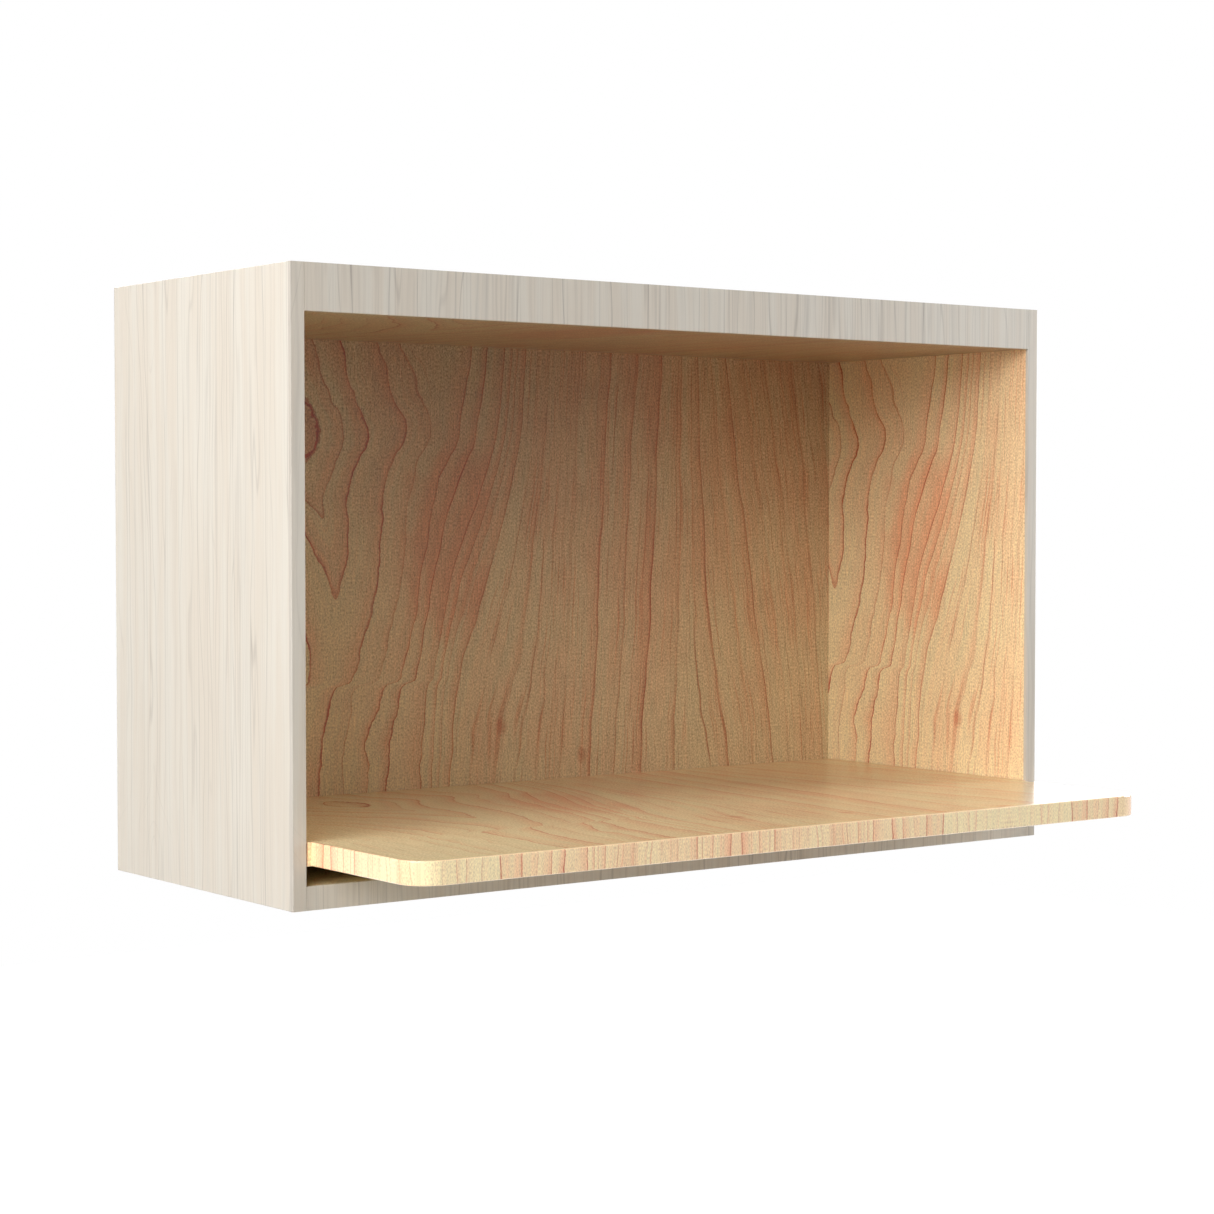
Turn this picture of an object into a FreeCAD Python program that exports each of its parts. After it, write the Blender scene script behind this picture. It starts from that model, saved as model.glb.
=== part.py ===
"""Wall cabinet with a deep fixed shelf for a microwave oven.

Units are millimetres. +X runs along the cabinet to the right, +Y points at the wall and +Z is up.
The origin is on the back plane, at the centre of the four wall-fixing holes.

The box is board: two sides, a top, a bottom and a thin back that sits in grooves. The boards' raw front
edges are covered by thin solid lippings, the outside of each side by a thin skin. Two hanging rails behind
the back take the wall screws. The shelf stands on three cleats and sticks out in front of the box.
"""

import FreeCAD, Part
import os

Vector = FreeCAD.Vector

# ---------------------------------------------------------------- driving dimensions
# Whole box, without the part of the shelf that sticks out
WIDTH = 825.5
HEIGHT = 508.0
DEPTH = 304.8

# Boards
CORE_T = 9.5              # side board behind its skin
SKIN_T = 3.2              # finished skin on the outside of a side
BOTTOM_T = 19.05
TOP_T = 19.05
BACK_T = 6.0
LIPPING_T = 3.2           # solid lipping on the front edges, measured front to back
TOP_RAIL_H = 38.1         # height of the lipping across the top
HOUSING_DEPTH = 4.8       # how far the top, bottom and back are let into the sides
BACK_LET_IN = 6.0         # how far the back is let into the top and bottom
ARRIS = 0.4               # small chamfer that takes the sharpness off a board's edge
EASED_R = 1.2             # rounding of the lippings' outer edges

# Hanging rails and the holes for the wall screws
RAIL_T = 12.0
RAIL_H = 88.9
FIXING_SPACING_X = 406.4  # stud spacing
FIXING_INSET_Z = 82.55    # from the box's top and bottom edges to the holes
FIXING_R = 2.5

# Crown nailer, which stands on the top board behind the top lipping
NAILER_DEPTH = 19.05

# Shelf
SHELF_T = 19.05
SHELF_OVERHANG = 152.4    # in front of the box
SHELF_CORNER_R = 25.4
SHELF_SIDE_GAP = 0.8      # between the shelf and each side of the box
SHELF_BACK_GAP = 0.3
SHELF_STEP = 3.2          # the overhang is narrower than the rest by this on each side
BAND_T = 2.0              # edge band round the overhang
BAND_R = 1.2              # rounding of the band's top and bottom edges

# Cleats under the shelf
CLEAT_W = 19.05
CLEAT_H = 15.9
CLEAT_SETBACK = 38.1      # from the front of the box to the cleat's front end

# Countersunk wood screws
SCREW_R = 1.9
SCREW_HEAD_R = 4.0
SCREW_HEAD_H = 3.0
SCREW_TIP_H = 4.5
SCREW_TIP_R = 0.3
SCREW_FIT = 0.1           # clearance all round a screw, so that it seats without biting
SCREW_SINK = 0.3          # how far a head lies below the board's face
DRIVE_W = 1.1             # cross recess in the head
DRIVE_L = 4.6
DRIVE_DEPTH = 1.8
CARCASS_SCREW_L = 31.75
SHELF_SCREW_L = 44.45
NAILER_SCREW_L = 31.75
CARCASS_SCREW_INSET = 38.1   # first and last screw from the ends of a top or bottom board
CARCASS_SCREWS = 3
RAIL_SCREW_SPACING = 44.0
SHELF_SCREW_INSET = 35.0     # first and last screw from the ends of a cleat
SHELF_SCREWS = 4             # in each cleat
NAILER_SCREW_INSET = 90.0
NAILER_SCREWS = 4

# ---------------------------------------------------------------- positions that follow
SIDE_T = CORE_T + SKIN_T
X_OUT = WIDTH / 2                      # outer face of the box
X_CORE = X_OUT - SKIN_T                # between skin and core
X_IN = X_OUT - SIDE_T                  # inner face of a side
X_HOUSED = X_IN + HOUSING_DEPTH        # bottom of a housing in a side

Y_WALL = 0.0
Y_RAIL = Y_WALL - RAIL_T               # front of the hanging rails
Y_BACK = Y_RAIL - BACK_T               # front of the back board
Y_FRONT = Y_WALL - DEPTH               # front of the box
Y_BOARDS = Y_FRONT + LIPPING_T         # front edges of the boards
Y_SHELF = Y_FRONT - SHELF_OVERHANG     # front of the shelf
Y_SHELF_REAR = Y_BACK - SHELF_BACK_GAP
Y_CLEAT = Y_FRONT + CLEAT_SETBACK

Z_BOTTOM = -HEIGHT / 2
Z_TOP = HEIGHT / 2
Z_FLOOR = Z_BOTTOM + BOTTOM_T          # upper face of the bottom board
Z_CEILING = Z_TOP - TOP_RAIL_H         # lower face of the top board
Z_TOP_BOARD = Z_CEILING + TOP_T        # upper face of the top board
Z_SHELF = Z_FLOOR + CLEAT_H            # lower face of the shelf
Z_SHELF_TOP = Z_SHELF + SHELF_T
Z_FIXING = HEIGHT / 2 - FIXING_INSET_Z

SHELF_HALF = X_IN - SHELF_SIDE_GAP
OVERHANG_HALF = SHELF_HALF - SHELF_STEP


# ---------------------------------------------------------------- helpers
def board(x_limits, y_limits, z_limits):
    """A rectangular board between two limits on each axis."""
    (x0, x1), (y0, y1), (z0, z1) = (sorted(v) for v in (x_limits, y_limits, z_limits))
    return Part.makeBox(x1 - x0, y1 - y0, z1 - z0, Vector(x0, y0, z0))


def edges_where(shape, test):
    """The edges for which every vertex passes the test."""
    return [e for e in shape.Edges if all(test(v.Point) for v in e.Vertexes)]


def on(value, target):
    """True where a coordinate lies on a plane."""
    return abs(value - target) < 1e-4


def spread(first, last, count):
    """Evenly spaced values from first to last."""
    if count == 1:
        return [(first + last) / 2]
    return [first + (last - first) * i / (count - 1) for i in range(count)]


def mirrored(shape):
    """The same piece on the other side of the cabinet."""
    return shape.mirror(Vector(0, 0, 0), Vector(1, 0, 0))


# ---------------------------------------------------------------- screws
def screw_body(length, grow=0.0):
    """A countersunk screw's outline, head at z = 0 and tip down; grow makes the hole that it sits in."""
    head = Part.makeCone(SCREW_HEAD_R + grow, SCREW_R + grow, SCREW_HEAD_H + grow,
                         Vector(0, 0, 0), Vector(0, 0, -1))
    shank_l = length - SCREW_HEAD_H - SCREW_TIP_H
    shank = Part.makeCylinder(SCREW_R + grow, shank_l, Vector(0, 0, -SCREW_HEAD_H), Vector(0, 0, -1))
    tip = Part.makeCone(SCREW_R + grow, SCREW_TIP_R + grow, SCREW_TIP_H + grow,
                        Vector(0, 0, -SCREW_HEAD_H - shank_l), Vector(0, 0, -1))
    return head.fuse([shank, tip]).removeSplitter()


def screw(length):
    """A screw with a cross recess in its head."""
    bars = [Part.makeBox(a, b, DRIVE_DEPTH, Vector(-a / 2, -b / 2, -DRIVE_DEPTH))
            for a, b in ((DRIVE_L, DRIVE_W), (DRIVE_W, DRIVE_L))]
    return screw_body(length).cut(bars[0].fuse(bars[1]))


def screw_hole(length):
    """The countersunk hole for a screw, open at the board's face."""
    hole = screw_body(length, SCREW_FIT)
    mouth = Part.makeCylinder(SCREW_HEAD_R + SCREW_FIT, SCREW_SINK, Vector(0, 0, 0))
    return hole.fuse(mouth).removeSplitter()


def driven(shape, point, direction):
    """Turns a screw or its hole, made pointing down, to lie along direction with its head under point."""
    placed = shape.copy()
    turn = FreeCAD.Rotation(Vector(0, 0, -1), Vector(*direction))
    head = Vector(*point) + Vector(*direction) * SCREW_SINK
    placed.Placement = FreeCAD.Placement(head, turn)
    return placed


def carcass_screw_points():
    """Heads of the screws through the left core, into the bottom, top, rails and nailer."""
    along = spread(Y_WALL - CARCASS_SCREW_INSET, Y_BOARDS + CARCASS_SCREW_INSET, CARCASS_SCREWS)
    points = [(y, z) for z in (Z_BOTTOM + BOTTOM_T / 2, Z_CEILING + TOP_T / 2) for y in along]
    y_rail = Y_WALL - RAIL_T / 2
    for z_mid in (Z_CEILING - RAIL_H / 2, Z_FLOOR + RAIL_H / 2):
        points += [(y_rail, z_mid + s * RAIL_SCREW_SPACING / 2) for s in (-1, 1)]
    points.append((Y_BOARDS + NAILER_DEPTH / 2, (Z_TOP_BOARD + Z_TOP) / 2))
    return [(-X_CORE, y, z) for y, z in points]


def carcass_left(shape):
    """The group of carcass screws, or of their holes, on the left."""
    return Part.makeCompound([driven(shape, p, (1, 0, 0)) for p in carcass_screw_points()])


def carcass_holes():
    """The holes for the carcass screws on both sides."""
    left = carcass_left(screw_hole(CARCASS_SCREW_L))
    return Part.makeCompound([left, mirrored(left)])


def cleat_centres():
    """Where the three cleats lie across the box."""
    outer = X_IN - CLEAT_W / 2
    return [-outer, 0.0, outer]


def shelf_screw_points():
    """Heads of the screws that come up through the bottom board and a cleat into the shelf."""
    along = spread(Y_BACK - SHELF_SCREW_INSET, Y_CLEAT + SHELF_SCREW_INSET, SHELF_SCREWS)
    return [(x, y, Z_BOTTOM) for x in cleat_centres() for y in along]


def nailer_screw_points():
    """Heads of the screws down through the nailer into the top board."""
    across = spread(-X_IN + NAILER_SCREW_INSET, X_IN - NAILER_SCREW_INSET, NAILER_SCREWS)
    return [(x, Y_BOARDS + NAILER_DEPTH / 2, Z_TOP) for x in across]


def shelf_screws(shape):
    """The group of shelf screws, or of their holes."""
    return Part.makeCompound([driven(shape, p, (0, 0, 1)) for p in shelf_screw_points()])


def nailer_screws(shape):
    """The group of nailer screws, or of their holes."""
    return Part.makeCompound([driven(shape, p, (0, 0, -1)) for p in nailer_screw_points()])


# ---------------------------------------------------------------- the box
def side_core():
    """Left side board: rebated for the bottom, housed for the top, grooved for the back."""
    core = board((-X_CORE, -X_IN), (Y_BOARDS, Y_WALL), (Z_BOTTOM, Z_TOP))
    housing = (-X_HOUSED, -X_IN)
    cuts = [
        board(housing, (Y_BOARDS, Y_WALL), (Z_BOTTOM, Z_FLOOR)),
        board(housing, (Y_BOARDS, Y_WALL), (Z_CEILING, Z_TOP_BOARD)),
        board(housing, (Y_BACK, Y_RAIL), (Z_FLOOR, Z_CEILING)),
    ]
    return core.cut(Part.makeCompound(cuts)).cut(carcass_holes())


def side_skin():
    """Finished skin on the outside of the left core, its outer edges broken where no lipping meets them."""
    skin = board((-X_OUT, -X_CORE), (Y_BOARDS, Y_WALL), (Z_BOTTOM, Z_TOP))
    outer = edges_where(skin, lambda p: on(p.x, -X_OUT))
    return skin.makeChamfer(ARRIS, [e for e in outer if e.BoundBox.YMax > Y_BOARDS + ARRIS])


def board_with_back_groove(z_limits, groove_z):
    """A top or bottom board, as long as the housings, with a groove that takes the back."""
    plain = board((-X_HOUSED, X_HOUSED), (Y_BOARDS, Y_WALL), z_limits)
    groove = board((-X_HOUSED, X_HOUSED), (Y_BACK, Y_RAIL), groove_z)
    return plain.cut(groove).cut(carcass_holes())


def bottom_board():
    """Bottom board, drilled for the shelf screws."""
    shape = board_with_back_groove((Z_BOTTOM, Z_FLOOR), (Z_FLOOR - BACK_LET_IN, Z_FLOOR))
    return shape.cut(shelf_screws(screw_hole(SHELF_SCREW_L)))


def top_board():
    """Top board, set below the top of the sides, drilled for the nailer screws."""
    shape = board_with_back_groove((Z_CEILING, Z_TOP_BOARD), (Z_CEILING, Z_CEILING + BACK_LET_IN))
    return shape.cut(nailer_screws(screw_hole(NAILER_SCREW_L)))


def back_board():
    """Thin back, let into the sides, top and bottom."""
    return board((-X_HOUSED, X_HOUSED), (Y_BACK, Y_RAIL),
                 (Z_FLOOR - BACK_LET_IN, Z_CEILING + BACK_LET_IN))


def hanging_rail(z_limits, z_hole):
    """Rail between the sides, behind the back, with two holes at the stud spacing."""
    rail = board((-X_IN, X_IN), (Y_RAIL, Y_WALL), z_limits)
    holes = [Part.makeCylinder(FIXING_R, RAIL_T, Vector(s * FIXING_SPACING_X / 2, Y_WALL, z_hole),
                               Vector(0, -1, 0)) for s in (-1, 1)]
    return rail.cut(Part.makeCompound(holes)).cut(carcass_holes())


def crown_nailer():
    """Strip on top of the top board that carries the top lipping and any crown moulding."""
    strip = board((-X_IN, X_IN), (Y_BOARDS, Y_BOARDS + NAILER_DEPTH), (Z_TOP_BOARD, Z_TOP))
    return strip.cut(carcass_holes()).cut(nailer_screws(screw_hole(NAILER_SCREW_L)))


# ---------------------------------------------------------------- the front lippings
def lipping_stile():
    """Left upright lipping, full height, rounded on its outer front edges."""
    strip = board((-X_OUT, -X_IN), (Y_FRONT, Y_BOARDS), (Z_BOTTOM, Z_TOP))
    outer = edges_where(strip, lambda p: on(p.y, Y_FRONT) and on(p.x, -X_OUT))
    strip = strip.makeFillet(EASED_R, outer)
    inner = edges_where(strip, lambda p: on(p.y, Y_FRONT) and on(p.x, -X_IN))
    return strip.makeChamfer(ARRIS, inner)


def lipping_rail(z_limits, z_inner):
    """Lipping between the stiles, with the edge at the opening broken."""
    strip = board((-X_IN, X_IN), (Y_FRONT, Y_BOARDS), z_limits)
    inner = edges_where(strip, lambda p: on(p.y, Y_FRONT) and on(p.z, z_inner))
    return strip.makeChamfer(ARRIS, inner)


# ---------------------------------------------------------------- the shelf
def shelf_slab(inset):
    """The whole shelf as one slab; inset pulls in only the banded edges, round the overhang."""
    z_limits = (Z_SHELF, Z_SHELF_TOP)
    half, y_front, y_step = OVERHANG_HALF - inset, Y_SHELF + inset, Y_FRONT + inset
    inside = board((-SHELF_HALF, SHELF_HALF), (y_step, Y_SHELF_REAR), z_limits)
    overhang = board((-half, half), (y_front, y_step), z_limits)
    corners = [e for e in edges_where(overhang, lambda p: on(p.y, y_front)) if on(e.BoundBox.XLength, 0)]
    overhang = overhang.makeFillet(SHELF_CORNER_R - inset, corners)
    return inside.fuse(overhang).removeSplitter()


def shelf_board():
    """Shelf core, drilled from below for its screws."""
    return shelf_slab(BAND_T).cut(shelf_screws(screw_hole(SHELF_SCREW_L)))


def shelf_edge_band():
    """Band round the overhang, returned onto the steps, with its upper and lower edges rounded."""
    slab = shelf_slab(0.0)
    rims = [e for z in (Z_SHELF, Z_SHELF_TOP) for e in edges_where(slab, lambda p: on(p.z, z))]
    proud = [e for e in rims if e.BoundBox.YMin < Y_FRONT - BAND_R]
    return slab.makeFillet(min(BAND_R, 0.8 * BAND_T), proud).cut(shelf_slab(BAND_T))


def cleat(x):
    """Strip under the shelf, screwed through."""
    strip = board((x - CLEAT_W / 2, x + CLEAT_W / 2), (Y_CLEAT, Y_BACK), (Z_FLOOR, Z_SHELF))
    return strip.cut(shelf_screws(screw_hole(SHELF_SCREW_L)))


# ---------------------------------------------------------------- assembly
def build():
    """Every piece by its node name."""
    core = side_core()
    skin = side_skin()
    stile = lipping_stile()
    cleats = [cleat(x) for x in cleat_centres()]
    carcass_screws = carcass_left(screw(CARCASS_SCREW_L))
    z_top_rail = (Z_CEILING - RAIL_H, Z_CEILING)
    z_bottom_rail = (Z_FLOOR, Z_FLOOR + RAIL_H)
    return {
        "side_core_left": core,
        "side_core_right": mirrored(core),
        "side_skin_left": skin,
        "side_skin_right": mirrored(skin),
        "top_board": top_board(),
        "bottom_board": bottom_board(),
        "back_board": back_board(),
        "hanging_rail_top": hanging_rail(z_top_rail, Z_FIXING),
        "hanging_rail_bottom": hanging_rail(z_bottom_rail, -Z_FIXING),
        "crown_nailer": crown_nailer(),
        "lipping_left": stile,
        "lipping_right": mirrored(stile),
        "lipping_top": lipping_rail((Z_CEILING, Z_TOP), Z_CEILING),
        "lipping_bottom": lipping_rail((Z_BOTTOM, Z_FLOOR), Z_FLOOR),
        "shelf_board": shelf_board(),
        "shelf_edge_band": shelf_edge_band(),
        "shelf_cleat_left": cleats[0],
        "shelf_cleat_centre": cleats[1],
        "shelf_cleat_right": cleats[2],
        "shelf_screws": shelf_screws(screw(SHELF_SCREW_L)),
        "carcass_screws_left": carcass_screws,
        "carcass_screws_right": mirrored(carcass_screws),
        "crown_nailer_screws": nailer_screws(screw(NAILER_SCREW_L)),
    }


os.makedirs("parts", exist_ok=True)
for name, shape in build().items():
    solids = shape.Solids
    if not solids or not all(s.isValid() and s.Volume > 0 for s in solids):
        raise ValueError(f"{name} is not a set of valid solids")
    shape.exportStep(f"parts/{name}.step")
    print(f"{name}: {len(solids)} solid(s), {shape.Volume / 1000:.1f} cm3")
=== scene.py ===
from math import cos, radians, sin

import bpy
import bmesh
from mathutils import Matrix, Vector


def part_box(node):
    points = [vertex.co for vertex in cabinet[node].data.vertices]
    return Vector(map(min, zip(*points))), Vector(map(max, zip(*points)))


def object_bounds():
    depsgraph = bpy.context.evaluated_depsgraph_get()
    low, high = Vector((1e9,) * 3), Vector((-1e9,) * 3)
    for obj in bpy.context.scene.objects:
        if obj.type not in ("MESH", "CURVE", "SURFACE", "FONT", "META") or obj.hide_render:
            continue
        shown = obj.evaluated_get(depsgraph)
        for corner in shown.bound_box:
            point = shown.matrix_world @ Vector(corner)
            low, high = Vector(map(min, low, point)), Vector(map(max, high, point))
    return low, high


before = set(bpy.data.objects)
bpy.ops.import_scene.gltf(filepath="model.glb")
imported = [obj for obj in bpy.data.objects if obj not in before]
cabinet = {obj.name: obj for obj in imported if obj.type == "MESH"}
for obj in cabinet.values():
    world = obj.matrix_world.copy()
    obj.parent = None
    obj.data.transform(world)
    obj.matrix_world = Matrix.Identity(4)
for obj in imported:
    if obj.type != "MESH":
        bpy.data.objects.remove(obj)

cad_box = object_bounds()


# ---------------------------------------------------------------------------------------------------------
# Side boards. Each is a 9.5 mm plywood board with maple veneer on its inner face, housed for the top, the
# bottom and the back. Its cut edges show the plies wherever no lipping covers them.

class Amount:
    """A number that differs from point to point of a surface; sums with it become Math nodes."""

    def __init__(self, finish, socket):
        self.finish = finish
        self.socket = socket

    def __add__(self, other):
        return self.finish.math("ADD", self, other)

    def __radd__(self, other):
        return self.finish.math("ADD", other, self)

    def __sub__(self, other):
        return self.finish.math("SUBTRACT", self, other)

    def __rsub__(self, other):
        return self.finish.math("SUBTRACT", other, self)

    def __mul__(self, other):
        return self.finish.math("MULTIPLY", self, other)

    def __rmul__(self, other):
        return self.finish.math("MULTIPLY", other, self)

    def __truediv__(self, other):
        return self.finish.math("DIVIDE", self, other)

    def __pow__(self, other):
        return self.finish.math("POWER", self, other)


class Finish:
    """A finish as it is mixed: one material, and short ways to add nodes to it."""

    def __init__(self, name):
        self.material = bpy.data.materials.new(name)
        self.material.use_nodes = True
        self.tree = self.material.node_tree
        self.surface = self.tree.nodes["Principled BSDF"]
        place = self.tree.nodes.new("ShaderNodeTexCoord")
        self.x, self.y, self.z = self.split(place.outputs["Object"])
        self.facing = self.split(place.outputs["Normal"])

    def node(self, kind, *values):
        """Adds a node and fills its inputs in order."""
        made = self.tree.nodes.new(kind)
        for socket, value in zip(made.inputs, values):
            self.join(socket, value)
        return made

    def join(self, socket, value):
        """Gives a socket a plain value, or links another node to it."""
        if isinstance(value, Amount):
            value = value.socket
        if isinstance(value, bpy.types.NodeSocket):
            self.tree.links.new(value, socket)
        else:
            socket.default_value = value

    def split(self, vector):
        """The three parts of a vector."""
        return [Amount(self, part) for part in self.node("ShaderNodeSeparateXYZ", vector).outputs]

    def math(self, operation, *values):
        """One Math node."""
        made = self.tree.nodes.new("ShaderNodeMath")
        made.operation = operation
        for socket, value in zip(made.inputs, values):
            self.join(socket, value)
        return Amount(self, made.outputs[0])

    def ramp(self, amount, low, high, start=0.0, end=1.0):
        """Eases from start to end while the amount goes from low to high."""
        made = self.tree.nodes.new("ShaderNodeMapRange")
        made.interpolation_type = "SMOOTHSTEP"
        for socket, value in zip(made.inputs, (amount, low, high, start, end)):
            self.join(socket, value)
        return Amount(self, made.outputs[0])

    def curve(self, amount, points):
        """Follows a smooth line through (amount, result) points."""
        (left, right), (low, high) = ((min(axis), max(axis)) for axis in zip(*points))
        made = self.tree.nodes.new("ShaderNodeFloatCurve")
        line = made.mapping.curves[0]
        while len(line.points) < len(points):
            line.points.new(0.5, 0.5)
        for knee, (across, up) in zip(line.points, points):
            knee.location = ((across - left) / (right - left), (up - low) / (high - low))
        made.mapping.update()
        self.join(made.inputs["Value"], (amount - left) / (right - left))
        return Amount(self, made.outputs[0]) * (high - low) + low

    def cloud(self, across, along, size, layer, detail=2.0):
        """Soft random amount from 0 to 1; size is its grain in millimetres across and along the wood."""
        place = self.node("ShaderNodeCombineXYZ", across / size[0], along / size[1], layer)
        made = self.tree.nodes.new("ShaderNodeTexNoise")
        self.join(made.inputs["Vector"], place.outputs[0])
        made.inputs["Scale"].default_value = 1.0
        made.inputs["Detail"].default_value = detail
        return Amount(self, made.outputs[0])

    def chance(self, number):
        """A random amount from 0 to 1 for each whole number."""
        made = self.tree.nodes.new("ShaderNodeTexWhiteNoise")
        made.noise_dimensions = "1D"
        self.join(made.inputs["W"], number)
        return Amount(self, made.outputs["Value"])

    def blend(self, share, first, second):
        """A colour between two others."""
        made = self.tree.nodes.new("ShaderNodeMix")
        made.data_type = "RGBA"
        self.join(made.inputs[0], share)
        self.join(made.inputs[6], first)
        self.join(made.inputs[7], second)
        return made.outputs[2]

    def shade(self, colour, amount):
        """A colour made lighter or darker."""
        made = self.tree.nodes.new("ShaderNodeVectorMath")
        made.operation = "SCALE"
        self.join(made.inputs[0], colour)
        self.join(made.inputs["Scale"], amount)
        return made.outputs[0]

    def emboss(self, height, depth):
        """Raises the surface by a height from 0 to 1, depth metres at most."""
        made = self.tree.nodes.new("ShaderNodeBump")
        made.inputs["Distance"].default_value = depth
        self.join(made.inputs["Height"], height)
        self.join(self.surface.inputs["Normal"], made.outputs[0])

    def coat(self, *nodes):
        """Puts the finish on CAD nodes, by name."""
        for name in nodes:
            cabinet[name].data.materials.clear()
            cabinet[name].data.materials.append(self.material)


def srgb(red, green, blue):
    """A colour as it looks on screen, 0 to 255, turned into the linear values that a shader takes."""
    parts = [c / 255 for c in (red, green, blue)]
    return (*[c / 12.92 if c <= 0.04045 else ((c + 0.055) / 1.055) ** 2.4 for c in parts], 1.0)


MAPLE_PALE = srgb(239, 220, 173)
MAPLE_PINK = srgb(231, 170, 130)
MAPLE_LINE = srgb(188, 88, 58)

PITH = 166.0            # across the sheet to the middle of its cathedral figure, mm
SOFT_PITH = 4.0         # the growth lines round off over this much there, mm
MINOR_LINES = 4.4       # fine lines from one growth line to the next
KNOT_RING = 19.0        # reach of the knot at the top of the figure, mm
PIN_KNOTS = ((382.0, 54.0, 9.0), (477.0, 22.0, 8.0))
HEART = (328.0, 246.0, 54.0, 98.0)      # pinkest place of the sheet, and its reach across and along, mm


def maple_figure(wood, across, along, tone=1.0, pink=0.0, contrast=1.0):
    """Colour and grain height of a flat-sliced maple sheet; both places in millimetres.

    Round the pith the growth lines are nested ovals. Away from it they slant, then run straight.
    A sheet with a tone under 1 is darker than the rest; where a tone varies over the sheet, it also carries
    painted shade.
    Pink shifts it towards its pinker wood, and its lines show as strongly as the contrast says.
    """
    sway = wood.cloud(across, along, (110, 95), 1.0) - 0.5
    kink = wood.cloud(across, along, (26, 40), 2.0) - 0.5
    ragged = wood.cloud(across, along, (7, 8), 3.0, 4.0) - 0.5
    plain = wood.ramp(across, 235, 335)
    wander = sway * 26 * (1 - plain * 0.5) + (kink * 13 + ragged * 3.2) * (1 - plain * 0.9)

    drift = wood.curve(along, [(-160, -9), (0, -6), (60, -2), (94, 4), (100, 12), (105, 26), (171, 31),
                               (242, 21), (335, 0), (560, 4)])
    drift = drift * wood.ramp(across, 230, 340, 1.0, 0.0)
    taper = wood.curve(along, [(-160, 108), (0, 99), (60, 97), (105, 95), (171, 78), (242, 52), (290, 28),
                               (311, 14), (325, 3), (336, 0), (560, 0)])
    taper = taper * wood.ramp(across, 215, 480, 1.0, 0.0)
    crown = wood.curve(along, [(-160, 0), (336, 0), (349, 4), (362, 14), (417, 36), (470, 60), (560, 100)])
    crown = crown * wood.ramp(across, 270, 335, 1.0, 0.0)
    lean = wood.curve(across, [(0, 0), (280, 0), (370, 0.09), (450, 0.05), (545, 0.07), (610, 0),
                               (700, -0.17), (760, -0.12), (820, -0.05)])
    aside = wood.math("SQRT", (across + wander - PITH - drift) ** 2 + SOFT_PITH ** 2)
    reach = aside + taper + crown - lean * (along - 200)
    ring = wood.curve(reach, [(0, 0.3), (KNOT_RING, 1), (46, 2), (71, 3), (111, 4), (136, 5), (162, 6),
                              (179, 7), (201, 8), (211, 9), (230, 11), (262, 12), (300, 13), (366, 15),
                              (399, 16), (500, 19), (553, 21), (640, 24)])

    straight = wood.ramp(reach, 195, 260)
    part = wood.math("FRACT", ring)
    year = wood.math("FLOOR", ring)
    bold = wood.chance(year) ** (straight * 0.8 + 0.6) * 0.6 + 0.4 - straight * 0.2
    fade = wood.ramp(wood.cloud(across, along, (30, 80), 4.0), 0.3, 0.6, 0.4, 1.0)
    line = wood.ramp(part, 0.9, 0.98) * bold * fade * wood.ramp(across, 40, 150, 0.3, 1.0)
    blush = wood.ramp(part, 0.2, 1.0) * bold * wood.ramp(across, 40, 150, 0.5, 1.0)

    minor = ring * MINOR_LINES
    minor_bold = wood.chance(wood.math("FLOOR", minor) + 40) ** 1.4
    minor_fade = wood.ramp(wood.cloud(across, along, (12, 150), 5.0), 0.38, 0.62)
    minor_line = wood.ramp(wood.math("FRACT", minor), 0.8, 0.97) * minor_bold * minor_fade * straight
    tick = wood.ramp(wood.cloud(reach, along, (1.7, 110), 6.0, 1.0), 0.58, 0.74) * (straight * 0.6 + 0.2)

    place = wood.math("SQRT", ((across - HEART[0]) / HEART[2]) ** 2 + ((along - HEART[1]) / HEART[3]) ** 2)
    heart = wood.ramp(place + sway * 1.2 + kink, 0.5, 1.3, 1.0, 0.0)
    patch = wood.ramp(wood.cloud(across + wander * 2, along, (75, 130), 7.0), 0.36, 0.64)
    leaf = wood.chance(year + 80)
    fibre = wood.cloud(across, along, (1.5, 26), 8.0, 3.0)
    streak = wood.cloud(reach, along, (6, 200), 9.0)
    fleck = wood.cloud(across, along, (1.5, 2.1), 10.0, 3.0)

    sapwood = wood.ramp(across, 40, 240, 0.2, 0.0)
    pinkness = patch * 0.2 + heart * 0.42 + blush * 0.45 + leaf * 0.1 + tick * 0.5 + straight * 0.12 + pink
    pinkness = pinkness - (fleck - 0.5) * 0.55 + (streak - 0.5) * 0.5 - sapwood
    colour = wood.blend(wood.ramp(pinkness, -0.15, 1.1), MAPLE_PALE, MAPLE_PINK)
    rim = wood.math("ABSOLUTE", reach + ragged * 12 - KNOT_RING)
    knot = wood.ramp(reach, KNOT_RING - 6, KNOT_RING, 0.3, 0.0) + wood.ramp(rim, 1, 3.5, 0.8, 0.0)
    knot = knot * wood.ramp(across, PITH - 6, PITH + 6, 0.12, 1.0)
    for knot_across, knot_along, size in PIN_KNOTS:
        spot = (across - knot_across) ** 2 + ((along - knot_along) * 0.75) ** 2
        spot = wood.math("SQRT", spot) + ragged * 6
        knot = knot + wood.ramp(spot, size * 0.3, size, 0.34, 0.0)
    dark = (wood.math("MAXIMUM", line * 1.05, minor_line * 0.85) + tick * 0.26) * contrast + knot
    colour = wood.blend(dark, colour, MAPLE_LINE)
    lightness = (fibre - 0.5) * 0.5 + (streak - 0.5) * 0.2 + (fleck - 0.5) * 1.15 + tone
    return wood.shade(colour, lightness), fibre * 0.45 + dark * -0.2 + fleck * 0.3


PLY_PALE = srgb(214, 184, 140)
PLY_DARK = srgb(168, 126, 84)
PLY_THICKNESS = 1.59


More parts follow.
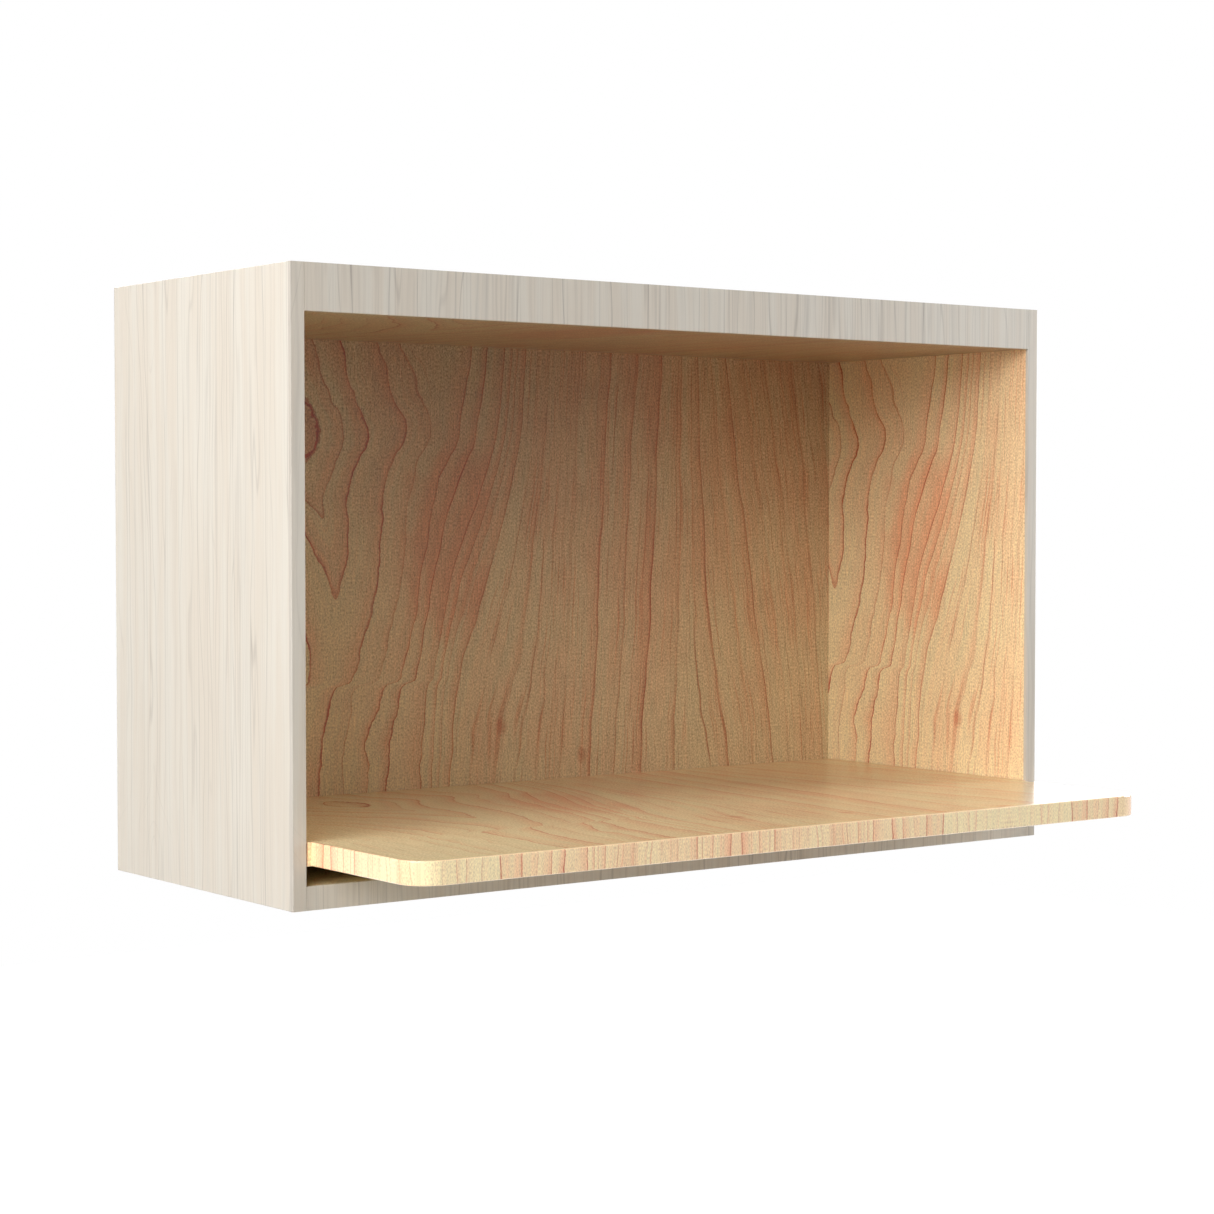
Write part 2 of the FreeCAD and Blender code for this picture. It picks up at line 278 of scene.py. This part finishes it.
def ply_edge(wood, through, along):
    """Colour of a cut plywood edge: plies in turn show their side grain and their end grain."""
    wave = wood.cloud(through, along, (30, 60), 11.0) * 0.7
    layer = wood.math("PINGPONG", (through + wave) / PLY_THICKNESS, 1.0)
    pores = wood.cloud(through, along, (0.35, 1.4), 12.0, 3.0)
    saw = wood.cloud(through, along, (8, 0.8), 13.0, 1.0)
    tone = wood.ramp(layer, 0.4, 0.6) * 0.7 + pores * 0.5 + (saw - 0.5) * 0.2
    return wood.blend(wood.ramp(tone, 0.1, 1.1), PLY_PALE, PLY_DARK)


def millimetres(amount, zero, direction=1.0):
    """Distance in millimetres from a place in the frame, which is in metres."""
    return (amount - zero) * (1000.0 * direction)


GRAIN_DEPTH = 0.00006   # relief of the veneer under its lacquer, m


def lacquer(wood, colour, edge, on_face, height, gloss):
    """Finishes a veneered board: lacquered where the veneer is, dry and rough on the cut edges."""
    wood.join(wood.surface.inputs["Base Color"], wood.blend(on_face, edge, colour))
    rough = wood.ramp(height, 0.2, 0.8, gloss + 0.06, gloss - 0.03)
    wood.join(wood.surface.inputs["Roughness"], on_face * rough + (1 - on_face) * 0.75)
    wood.emboss(height, GRAIN_DEPTH)


def is_face(wood, axis):
    """1 on the two broad faces of a board whose thickness runs along an axis, 0 on its edges."""
    return wood.ramp(wood.math("ABSOLUTE", wood.facing[axis]), 0.6, 0.8)


SATIN = 0.32            # roughness of the lacquer inside the box
SHEET_START = 189.0     # the side boards' veneer starts this far across the sheet at the back, mm
SHEET_FRONT = 470.0     # and reaches about this far at the front
SHEET_TOP = 417.0       # the bay's height on the sheet, mm; the tones, with their painted shade, change from its foot to here

bay_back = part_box("back_board")[0].y
shelf_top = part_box("shelf_board")[1].z

side_board = Finish("maple_side_board")
side_from_back = millimetres(side_board.y, bay_back, -1.0) + SHEET_START
side_up = millimetres(side_board.z, shelf_top)
# Painted shade: the side board's veneer is painted darker towards the back corner and a little darker
# towards the top of the bay.
side_tone_and_painted_shade = side_board.ramp(side_from_back, SHEET_START, SHEET_FRONT, 0.91, 1.02)
side_tone_and_painted_shade = side_tone_and_painted_shade + side_board.ramp(side_up, 0, SHEET_TOP, 0.03, -0.03)
side_pink = side_board.ramp(side_up, 0, SHEET_TOP, -0.06, 0.05)
side_colour, side_grain = maple_figure(side_board, side_from_back, side_up, side_tone_and_painted_shade, side_pink)
side_edge = ply_edge(side_board, millimetres(side_board.x, 0.0), side_board.y * 1000 + side_board.z * 1000)
lacquer(side_board, side_colour, side_edge, is_face(side_board, 0), side_grain, SATIN)
side_board.coat("side_core_left", "side_core_right")


# ---------------------------------------------------------------------------------------------------------
# Top and bottom boards. 19 mm veneered plywood, let into the side boards and grooved for the back. Their
# veneer runs from front to back, and the top board's lower face is the ceiling of the bay.

LEVEL_START = 20.0      # these boards' veneer starts this far along the sheet at the back, mm

bay_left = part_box("lipping_top")[0].x

level_board = Finish("maple_level_board")
level_across = millimetres(level_board.x, bay_left)
level_deep = millimetres(level_board.y, bay_back, -1.0) + LEVEL_START
# Painted shade: faces turned downwards, the bay's ceiling among them, get a much darker tone than faces
# turned upwards.
level_tone_and_painted_shade = level_board.ramp(level_board.facing[2], -0.5, 0.5, 0.48, 0.83)
level_colour, level_grain = maple_figure(level_board, level_across, level_deep, level_tone_and_painted_shade, pink=0.06)
level_edge = ply_edge(level_board, millimetres(level_board.z, 0.0), level_across)
lacquer(level_board, level_colour, level_edge, is_face(level_board, 2), level_grain, SATIN)
level_board.coat("top_board", "bottom_board")


# ---------------------------------------------------------------------------------------------------------
# Back. A 6 mm veneered sheet in grooves all round, with its grain upright; it closes the bay.

back_sheet = Finish("maple_back_sheet")
back_across = millimetres(back_sheet.x, bay_left)
back_up = millimetres(back_sheet.z, shelf_top)
# Painted shade: the back sheet is painted much darker towards the top of the bay, under the top board, and
# on its right part darker just above the shelf and less dark at the top.
back_right = back_sheet.ramp(back_across, 350, 650)
back_tone_and_painted_shade = back_sheet.ramp(back_up, 0, SHEET_TOP, 0.81, 0.555)
back_tone_and_painted_shade = back_tone_and_painted_shade + back_sheet.ramp(back_up, 0, SHEET_TOP, -0.06, 0.1) * back_right
back_pink = back_sheet.ramp(back_up, 0, SHEET_TOP, -0.03, 0.24) - back_right * 0.02
back_colour, back_grain = maple_figure(back_sheet, back_across, back_up, back_tone_and_painted_shade, back_pink)
back_edge = ply_edge(back_sheet, millimetres(back_sheet.y, 0.0), back_across)
lacquer(back_sheet, back_colour, back_edge, is_face(back_sheet, 1), back_grain, SATIN)
back_sheet.coat("back_board")


# ---------------------------------------------------------------------------------------------------------
# Hanging rails, crown nailer and shelf cleats. Sawn strips of plain softwood, planed but never finished,
# with their grain along their length. The rails take the wall screws.

STRIP_PALE = srgb(222, 196, 152)
STRIP_DARK = srgb(190, 148, 100)
STRIP_RING = 4.6        # from one growth line to the next, mm
STRIP_RELIEF = 0.00015  # of the planed surface, m


def bare_strip(name, length_axis, *nodes):
    """Unfinished straight-grained strip wood."""
    wood = Finish(name)
    places = [wood.x, wood.y, wood.z]
    along = places.pop(length_axis) * 1000
    across = places[0] * 1000 + places[1] * 1000
    sway = wood.cloud(across, along, (40, 190), 21.0) - 0.5
    ring = (across + sway * 22) / STRIP_RING
    part = wood.math("FRACT", ring)
    bold = wood.chance(wood.math("FLOOR", ring)) * 0.7 + 0.3
    line = wood.ramp(part, 0.25, 0.95) * bold
    fibre = wood.cloud(across, along, (0.6, 22), 22.0, 3.0)
    planer = wood.cloud(across, along, (60, 2.2), 23.0, 0.0)
    colour = wood.blend(line * 0.7, STRIP_PALE, STRIP_DARK)
    wood.join(wood.surface.inputs["Base Color"], wood.shade(colour, (fibre - 0.5) * 0.35 + 1.0))
    wood.join(wood.surface.inputs["Roughness"], wood.ramp(fibre, 0.3, 0.7, 0.62, 0.82))
    wood.emboss(fibre * 0.7 + line * -0.3 + planer * 0.3, STRIP_RELIEF)
    wood.coat(*nodes)


bare_strip("bare_strip_lengthwise", 0, "hanging_rail_top", "hanging_rail_bottom", "crown_nailer")
bare_strip("bare_strip_deep", 1, "shelf_cleat_left", "shelf_cleat_centre", "shelf_cleat_right")


# ---------------------------------------------------------------------------------------------------------
# Side skins and front lippings. Open-grained wood, limed: a pale wash lies over the wood and a little grey
# stays in the grain, which runs upright on every piece. The lippings' outer edges are eased.

LIMED_PALE = srgb(215, 208, 196)
LIMED_WARM = srgb(211, 201, 187)
LIMED_GREY = srgb(160, 151, 142)
LIMED_RING = 7.3        # from one growth line to the next, mm
LIMED_RELIEF = 0.00012  # of the open grain under the wash, m
EDGE_START = 0.0016     # the lippings' outer edges darken from this far in, m
EDGE_FULL = 0.0003      # to this far in, m


def limed_figure(wood, across, along, pith, boldness, tone):
    """Colour and grain height of limed wood with a faint cathedral figure; both places in millimetres."""
    sway = wood.cloud(across, along, (120, 260), 31.0) - 0.5
    kink = wood.cloud(across, along, (16, 90), 32.0) - 0.5
    wander = sway * 16 + kink * 3
    aside = wood.math("SQRT", (across + wander - pith) ** 2 + SOFT_PITH ** 2)
    taper = wood.curve(along, [(0, 12), (31, 16), (110, 48), (171, 46), (300, 34), (405, 22), (508, 0)])
    ring = (aside + taper * wood.ramp(aside, 40, 110, 1.0, 0.0)) / LIMED_RING
    bold = wood.chance(wood.math("FLOOR", ring)) ** 3
    fade = wood.ramp(wood.cloud(across, along, (20, 150), 33.0), 0.35, 0.65)
    line = wood.ramp(wood.math("FRACT", ring), 0.84, 0.97) * bold * fade

    def hairlines(spacing, width, layer):
        """Thin dark lines along the grain, each of its own strength."""
        weave = wood.cloud(across, along, (spacing * 3, 420), layer) * spacing * 5
        place = (across + wander * 0.3 + weave) / spacing
        strength = wood.chance(wood.math("FLOOR", place) + layer)
        middle = wood.math("ABSOLUTE", wood.math("FRACT", place) - 0.5)
        return wood.ramp(middle, 0.0, width / spacing, 1.0, 0.0) * strength

    crowd = wood.ramp(wood.cloud(across, along, (22, 400), 34.0), 0.38, 0.66, 0.3, 1.0)
    hair = hairlines(4.6, 1.2, 35.0) * crowd + hairlines(13, 1.0, 36.0)
    fibre = wood.cloud(across, along, (0.7, 34), 37.0, 3.0)
    band = wood.cloud(across + wander, along, (13, 300), 38.0)
    colour = wood.blend(wood.ramp(band, 0.35, 0.65), LIMED_PALE, LIMED_WARM)
    stain = wood.ramp(wood.cloud(across + wander, along, (6, 240), 39.0), 0.48, 0.72)
    cloudy = stain * (boldness - 0.8) * 0.45
    colour = wood.blend(line * 0.3 + hair * 0.6 + cloudy, colour, LIMED_GREY)
    lightness = (fibre - 0.5) * 0.08 + (band - 0.5) * 0.05 + tone
    return wood.shade(colour, lightness), fibre * 0.4 - hair * 0.4 - line * 0.5


def limed_wood(name, nodes, across_axis, zero, direction, pith, boldness, tone):
    """Limed wood with its grain upright, on pieces that face one way."""
    wood = Finish(name)
    across = millimetres((wood.x, wood.y)[across_axis], zero, direction)
    colour, height = limed_figure(wood, across, millimetres(wood.z, cad_box[0][2]), pith, boldness, tone)
    if across_axis == 0:
        from_middle = wood.math("ABSOLUTE", wood.x)
        half_width = cad_box[1][0]
        edge = wood.ramp(from_middle, half_width - EDGE_START, half_width - EDGE_FULL, 0.0, 0.5)
        colour = wood.blend(edge, colour, LIMED_GREY)
    wood.join(wood.surface.inputs["Base Color"], colour)
    wood.join(wood.surface.inputs["Roughness"], wood.ramp(height, -0.3, 0.4, 0.58, 0.46))
    wood.emboss(height, LIMED_RELIEF)
    wood.coat(*nodes)


SIDE_PITH = 70.0        # from a skin's rear edge to the middle of its figure, mm
FRONT_PITH = -40.0      # the lippings are cut beside the middle of theirs, mm

skin_low, skin_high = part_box("side_skin_left")
limed_wood("limed_side", ("side_skin_left", "side_skin_right"), across_axis=1, zero=skin_high.y,
           direction=-1.0, pith=SIDE_PITH, boldness=0.8, tone=0.85)
limed_wood("limed_front", ("lipping_left", "lipping_right", "lipping_top", "lipping_bottom"), across_axis=0,
           zero=skin_low.x, direction=1.0, pith=FRONT_PITH, boldness=1.3, tone=0.865)


# ---------------------------------------------------------------------------------------------------------
# Shelf. A 19 mm veneered board under a hard gloss lacquer, with its grain from front to back. A 2 mm maple
# band with rounded rims goes round the part that sticks out of the box.

GLOSS = 0.2             # roughness of the shelf's lacquer
BAND_SPREAD = 1.8       # the band's lines lie closer together than a board's by this
SHEET_WIDTH = 560.0     # the band's veneer turns back here, mm
SHELF_START = -31.0     # place of the shelf's front edge along its sheet, mm

shelf_sheet = Finish("maple_shelf_sheet")
shelf_across = millimetres(shelf_sheet.x, bay_left)
shelf_deep = millimetres(shelf_sheet.y, cad_box[0][1]) + SHELF_START
shelf_colour, shelf_grain = maple_figure(shelf_sheet, shelf_across, shelf_deep, tone=0.93, pink=-0.04,
                                         contrast=0.6)
shelf_edge = ply_edge(shelf_sheet, millimetres(shelf_sheet.z, 0.0), shelf_across)
lacquer(shelf_sheet, shelf_colour, shelf_edge, is_face(shelf_sheet, 2), shelf_grain, GLOSS)
shelf_sheet.coat("shelf_board")

shelf_band = Finish("maple_shelf_band")
on_front = is_face(shelf_band, 1)
band_across = millimetres(shelf_band.x, bay_left) * on_front
band_across = band_across + millimetres(shelf_band.y, bay_back) * (1 - on_front)
band_up = millimetres(shelf_band.z, shelf_top)
band_across = shelf_band.math("PINGPONG", band_across * BAND_SPREAD, SHEET_WIDTH)
band_tone = shelf_band.ramp(shelf_band.x, bay_left, 0.0, 1.11, 1.15)
band_colour, band_grain = maple_figure(shelf_band, band_across, band_up, band_tone, pink=0.04,
                                       contrast=1.25)
shelf_band.join(shelf_band.surface.inputs["Base Color"], band_colour)
shelf_band.join(shelf_band.surface.inputs["Roughness"], shelf_band.ramp(band_grain, 0.2, 0.8, 0.34, 0.24))
shelf_band.emboss(band_grain, GRAIN_DEPTH)
shelf_band.surface.inputs["Coat Weight"].default_value = 1.0
shelf_band.surface.inputs["Coat Roughness"].default_value = 0.1
shelf_band.coat("shelf_edge_band")


# ---------------------------------------------------------------------------------------------------------
# Screws. Zinc-plated countersunk wood screws with a cross recess, turned and then plated.

ZINC = srgb(196, 197, 194)
ZINC_DULL = srgb(150, 150, 146)
ZINC_RELIEF = 0.00003   # of the plating, m

zinc = Finish("zinc_plate")
spangle = zinc.cloud(zinc.x * 1000, zinc.y * 1000 + zinc.z * 1000, (1.4, 1.4), 41.0, 4.0)
zinc.join(zinc.surface.inputs["Base Color"], zinc.blend(zinc.ramp(spangle, 0.35, 0.65), ZINC, ZINC_DULL))
zinc.join(zinc.surface.inputs["Roughness"], zinc.ramp(spangle, 0.3, 0.7, 0.28, 0.46))
zinc.surface.inputs["Metallic"].default_value = 1.0
zinc.emboss(spangle, ZINC_RELIEF)
zinc.coat("shelf_screws", "carcass_screws_left", "carcass_screws_right", "crown_nailer_screws")


# ---------------------------------------------------------------------------------------------------------
# Studio. The cabinet hangs at its usual height over a plain pale floor, in front of plain white. Three soft
# lamps stand to its left and one to its right, and two more light its edges from behind.

HUNG = 1.37             # underside of the cabinet above the floor
FLOOR_SIZE = 14.0
FLOOR_FADES = (1.2, 3.2)    # the floor turns white between these distances from under the cabinet, m

bench = bmesh.new()
bmesh.ops.create_grid(bench, x_segments=8, y_segments=8, size=FLOOR_SIZE / 2)
floor_mesh = bpy.data.meshes.new("studio_floor")
bench.to_mesh(floor_mesh)
bench.free()
floor = bpy.data.objects.new("studio_floor", floor_mesh)
bpy.context.scene.collection.objects.link(floor)
floor.location = (0, 0, cad_box[0][2] - HUNG)

paper = Finish("pale_floor")
seen = paper.node("ShaderNodeLightPath")
paper.surface.inputs["Base Color"].default_value = srgb(236, 236, 234)
paper.surface.inputs["Roughness"].default_value = 0.8
directly = Amount(paper, seen.outputs["Is Camera Ray"])
for kind in ("Is Glossy Ray", "Is Transmission Ray"):
    directly = paper.math("MAXIMUM", directly, Amount(paper, seen.outputs[kind]))
away = paper.math("SQRT", paper.x ** 2 + paper.y ** 2)
paper.surface.inputs["Emission Color"].default_value = (1, 1, 1, 1)
paper.join(paper.surface.inputs["Emission Strength"], directly * paper.ramp(away, *FLOOR_FADES, 0.6, 1.0))
floor_mesh.materials.append(paper.material)

world = bpy.data.worlds.new("studio_air")
bpy.context.scene.world = world
world.use_nodes = True
air = world.node_tree
AIR_LIGHT = 0.06        # how much of the white round the cabinet falls on it as light
ray = air.nodes.new("ShaderNodeLightPath")
strength = air.nodes.new("ShaderNodeMix")
found = ray.outputs["Is Camera Ray"]
for kind in ("Is Glossy Ray", "Is Transmission Ray"):
    either = air.nodes.new("ShaderNodeMath")
    either.operation = "MAXIMUM"
    air.links.new(found, either.inputs[0])
    air.links.new(ray.outputs[kind], either.inputs[1])
    found = either.outputs[0]
air.links.new(found, strength.inputs[0])
strength.inputs[2].default_value = AIR_LIGHT
strength.inputs[3].default_value = 1.0
air.nodes["Background"].inputs["Color"].default_value = (1, 1, 1, 1)
air.links.new(strength.outputs[0], air.nodes["Background"].inputs["Strength"])

middle = Vector((0, -0.15, 0))
LAMP_DISTANCE = 3.2


def softbox(name, turn, rise, size, power):
    """A square soft lamp that faces the cabinet; turn is to the left of straight in front, in degrees."""
    light = bpy.data.lights.new(name, "AREA")
    light.shape = "SQUARE"
    light.size = size
    light.energy = power
    lamp = bpy.data.objects.new(name, light)
    level = LAMP_DISTANCE * cos(radians(rise))
    height = LAMP_DISTANCE * sin(radians(rise))
    lamp.location = (-sin(radians(turn)) * level, -cos(radians(turn)) * level, height)
    lamp.rotation_euler = (middle - lamp.location).to_track_quat("-Z", "Y").to_euler()
    lamp.visible_camera = False
    bpy.context.scene.collection.objects.link(lamp)


softbox("lamp_left", turn=72, rise=10, size=1.5, power=55)
softbox("lamp_front_left", turn=50, rise=20, size=1.3, power=41)
softbox("lamp_high_left", turn=80, rise=46, size=1.4, power=42)
softbox("lamp_right", turn=-70, rise=10, size=1.3, power=85)
softbox("lamp_behind", turn=-124, rise=7, size=1.6, power=23)
softbox("lamp_behind_high", turn=180, rise=28, size=1.6, power=42)

eye = bpy.data.cameras.new("eye")
eye.sensor_width = 36.0
eye.lens = 77.61
camera = bpy.data.objects.new("eye", eye)
camera.location = (-1.43617, -2.08392, 0.05783)
camera.rotation_euler = (radians(90 - 2.0417), 0, radians(-36.788))
bpy.context.scene.collection.objects.link(camera)
bpy.context.scene.camera = camera
bpy.context.scene.view_settings.view_transform = "Standard"
